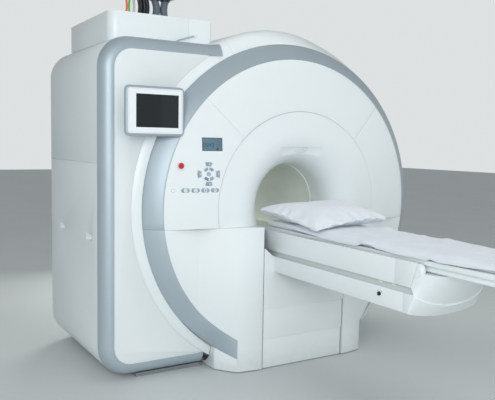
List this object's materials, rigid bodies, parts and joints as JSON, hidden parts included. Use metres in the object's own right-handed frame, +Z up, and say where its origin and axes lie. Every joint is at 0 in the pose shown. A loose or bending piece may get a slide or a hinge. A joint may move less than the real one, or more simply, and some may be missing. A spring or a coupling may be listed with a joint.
{
  "type": "mri scanner",
  "caption": "Closed magnetic resonance scanner: round gantry with a flared bore, service cabinet with monitor and keypad, and a lifting patient table with a sliding top.",
  "frame": {"origin": "on the floor, under the bore's axis, in the plane of the silver ring's inner edge", "axes": "+Z up; +Y into the bore, away from the patient table; +X to the right as seen from the front"},
  "size_m": [2.619, 3.59, 2.512],
  "materials": {
    "cover_white": "satin lacquer",
    "cover_grey": "satin lacquer",
    "ring_silver": "metallic lacquer",
    "frame_steel": "satin",
    "vessel_steel": "satin",
    "table_aluminium": "satin",
    "coil_resin": "cast",
    "tube_plastic": "satin",
    "window_glass": "polished",
    "screen_glass": "anti-glare",
    "display_glass": "anti-glare",
    "key_grey": "satin",
    "stop_red": "gloss",
    "knob_black": "satin",
    "fitting_black": "matt",
    "cable_orange": "matt",
    "cable_green": "matt",
    "cable_grey": "matt",
    "cable_black": "matt",
    "hose_grey": "matt",
    "mattress_vinyl": "smooth",
    "roller_rubber": "matt",
    "sheet_cotton": "woven",
    "pillow_cotton": "woven"
  },
  "bodies": {
    "gantry": {"base_frame": "frame_steel", "vacuum_vessel": "vessel_steel", "helium_vessel": "vessel_steel", "gradient_coil": "coil_resin", "patient_tube": "tube_plastic", "bore_bridge": "tube_plastic", "front_ring": "ring_silver", "ring_ends": "ring_silver", "front_cover_top": "cover_white", "front_cover_left": "cover_white", "front_cover_right": "cover_white", "funnel_cover": "cover_white", "laser_window": "window_glass", "lower_covers": "cover_white", "skirts": "cover_white", "shell_top": "cover_white", "shell_sides": "cover_white", "rear_cover": "cover_white", "cabinet_trim": "ring_silver", "cabinet_front": "cover_white", "cabinet_side_upper": "cover_grey", "cabinet_side_lower": "cover_grey", "cabinet_back": "cover_grey", "cabinet_frame": "frame_steel", "top_box": "cover_grey", "cable_fittings": "fitting_black", "orange_cable": "cable_orange", "green_cable": "cable_green", "grey_cable": "cable_grey", "black_cable": "cable_black", "hose_left": "hose_grey", "hose_right": "hose_grey", "monitor_housing": "ring_silver", "monitor_screen": "screen_glass", "key_tray": "frame_steel", "status_display": "display_glass", "lift_frame": "frame_steel", "lift_cylinder": "vessel_steel", "apron_lower": "cover_white"},
    "apron": {"apron_middle": "cover_white"},
    "table": {"table_beam": "table_aluminium", "table_fascias": "cover_white", "apron_upper": "cover_white"},
    "tabletop": {"tabletop": "cover_white", "mattress": "mattress_vinyl", "sheet": "sheet_cotton", "pillow": "pillow_cotton"},
    "roller": {"drive_roller": "roller_rubber"},
    "knob": {"release_knob": "knob_black"},
    "centre_key_cap": {"centre_key": "key_grey"},
    "ring_key_cap": {"ring_key": "key_grey"},
    "arrow_key_right_cap": {"arrow_key_right": "key_grey"},
    "arrow_key_up_cap": {"arrow_key_up": "key_grey"},
    "arrow_key_left_cap": {"arrow_key_left": "key_grey"},
    "arrow_key_down_cap": {"arrow_key_down": "key_grey"},
    "oval_key_1_cap": {"oval_key_1": "key_grey"},
    "oval_key_2_cap": {"oval_key_2": "key_grey"},
    "oval_key_3_cap": {"oval_key_3": "key_grey"},
    "oval_key_4_cap": {"oval_key_4": "key_grey"},
    "stop_head": {"stop_button": "stop_red"}
  },
  "joints": [
    {"name": "table_lift", "type": "slide", "parent": "gantry", "child": "table", "axis": [0, 0, 1], "range_m": [-0.36, 0]},
    {"name": "apron_slide", "type": "slide", "parent": "gantry", "child": "apron", "axis": [0, 0, 1], "range_m": [-0.18, 0]},
    {"name": "tabletop_slide", "type": "slide", "parent": "table", "child": "tabletop", "axis": [0, 1, 0], "range_m": [0, 1.6]},
    {"name": "roller_spin", "type": "hinge", "parent": "table", "child": "roller", "pos_m": [0, -0.06, 0.8617], "axis": [1, 0, 0], "range_deg": [-3300, 10]},
    {"name": "release_turn", "type": "hinge", "parent": "table", "child": "knob", "pos_m": [-0.262, -1.153, 0.731], "axis": [-1, 0, 0], "range_deg": [0, 90]},
    {"name": "centre_key_press", "type": "slide", "parent": "gantry", "child": "centre_key_cap", "axis": [0, 1, 0], "range_m": [0, 0.0015], "stiffness_N_per_m": 1500},
    {"name": "ring_key_press", "type": "slide", "parent": "gantry", "child": "ring_key_cap", "axis": [0, 1, 0], "range_m": [0, 0.0015], "stiffness_N_per_m": 1500},
    {"name": "arrow_key_right_press", "type": "slide", "parent": "gantry", "child": "arrow_key_right_cap", "axis": [0, 1, 0], "range_m": [0, 0.0015], "stiffness_N_per_m": 1500},
    {"name": "arrow_key_up_press", "type": "slide", "parent": "gantry", "child": "arrow_key_up_cap", "axis": [0, 1, 0], "range_m": [0, 0.0015], "stiffness_N_per_m": 1500},
    {"name": "arrow_key_left_press", "type": "slide", "parent": "gantry", "child": "arrow_key_left_cap", "axis": [0, 1, 0], "range_m": [0, 0.0015], "stiffness_N_per_m": 1500},
    {"name": "arrow_key_down_press", "type": "slide", "parent": "gantry", "child": "arrow_key_down_cap", "axis": [0, 1, 0], "range_m": [0, 0.0015], "stiffness_N_per_m": 1500},
    {"name": "oval_key_1_press", "type": "slide", "parent": "gantry", "child": "oval_key_1_cap", "axis": [0, 1, 0], "range_m": [0, 0.0015], "stiffness_N_per_m": 1500},
    {"name": "oval_key_2_press", "type": "slide", "parent": "gantry", "child": "oval_key_2_cap", "axis": [0, 1, 0], "range_m": [0, 0.0015], "stiffness_N_per_m": 1500},
    {"name": "oval_key_3_press", "type": "slide", "parent": "gantry", "child": "oval_key_3_cap", "axis": [0, 1, 0], "range_m": [0, 0.0015], "stiffness_N_per_m": 1500},
    {"name": "oval_key_4_press", "type": "slide", "parent": "gantry", "child": "oval_key_4_cap", "axis": [0, 1, 0], "range_m": [0, 0.0015], "stiffness_N_per_m": 1500},
    {"name": "stop_press", "type": "slide", "parent": "gantry", "child": "stop_head", "axis": [0, 1, 0], "range_m": [0, 0.005], "stiffness_N_per_m": 2000}
  ],
  "couplings": [
    {"joint": "apron_slide", "follows": "table_lift", "ratio": 0.5},
    {"joint": "roller_spin", "follows": "tabletop_slide", "rad_per_m": -35.714}
  ]
}
